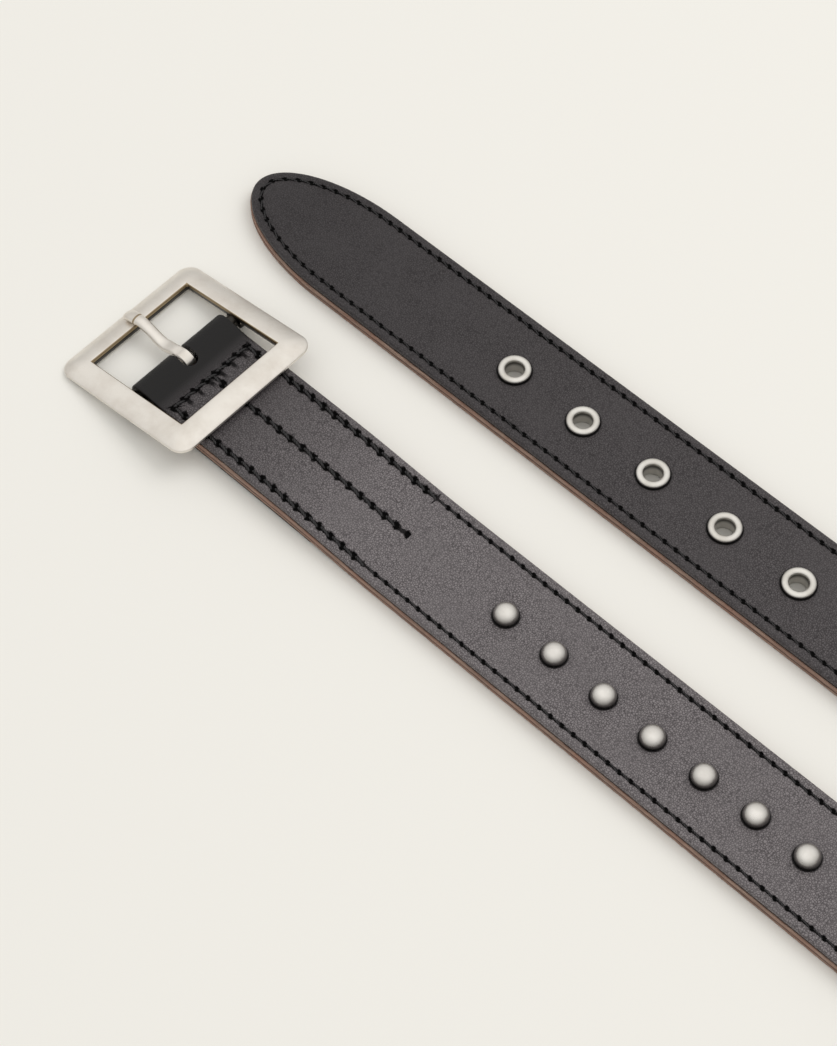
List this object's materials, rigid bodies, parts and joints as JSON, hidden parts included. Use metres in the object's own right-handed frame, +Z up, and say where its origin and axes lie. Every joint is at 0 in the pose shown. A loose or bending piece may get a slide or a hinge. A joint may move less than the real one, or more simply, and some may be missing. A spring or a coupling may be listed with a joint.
{
  "type": "studded belt",
  "caption": "Leather belt with a square prong buckle, a row of dome studs, metal eyelets and a rounded tip, laid with both ends flat and side by side.",
  "frame": {"origin": "middle of the laid belt's outline, on the surface it lies on", "axes": "+X along the two flat ends, from the buckle and tip towards the loop; +Z up; the tip's end is on the +Y side"},
  "size_m": [0.5108, 0.1032, 0.0351],
  "materials": {
    "black_leather": "semi-matte black leather with a fine grain",
    "brown_leather": "raw brown leather, cut edge and flesh side",
    "satin_nickel": "satin nickel, a little worn",
    "bright_nickel": "bright nickel",
    "pewter": "matte pewter"
  },
  "bodies": {
    "strap": {"strap_outer": "black_leather", "strap_lining": "brown_leather", "eyelet_1": "bright_nickel", "eyelet_2": "bright_nickel", "eyelet_3": "bright_nickel", "eyelet_4": "bright_nickel", "eyelet_5": "bright_nickel", "stud_01": "pewter", "stud_02": "pewter", "stud_03": "pewter", "stud_04": "pewter", "stud_05": "pewter", "stud_06": "pewter", "stud_07": "pewter", "stud_08": "pewter", "stud_09": "pewter", "stud_10": "pewter", "stud_11": "pewter", "stud_12": "pewter", "stud_13": "pewter", "stud_14": "pewter", "stud_15": "pewter", "stud_16": "pewter", "stud_17": "pewter", "stud_18": "pewter", "stud_19": "pewter", "stud_20": "pewter", "stud_21": "pewter", "stud_22": "pewter", "stud_23": "pewter", "stud_24": "pewter", "stud_25": "pewter", "stud_26": "pewter", "stud_27": "pewter", "stud_28": "pewter", "stud_29": "pewter", "stud_30": "pewter", "stud_31": "pewter", "stud_32": "pewter", "stud_33": "pewter", "stud_34": "pewter", "stud_35": "pewter", "stud_36": "pewter", "stud_37": "pewter", "stud_38": "pewter", "stud_39": "pewter", "stud_40": "pewter"},
    "buckle": {"buckle_frame": "satin_nickel"},
    "prong": {"prong": "satin_nickel"}
  },
  "joints": [
    {"name": "buckle_swing", "type": "hinge", "parent": "strap", "child": "buckle", "pos_m": [-0.22465, -0.0264, 0.0039], "axis": [0, -1, 0], "range_deg": [-1.5, 120]},
    {"name": "prong_swing", "type": "hinge", "parent": "buckle", "child": "prong", "pos_m": [-0.22465, -0.0264, 0.0039], "axis": [0, 1, 0], "range_deg": [0, 100]}
  ]
}
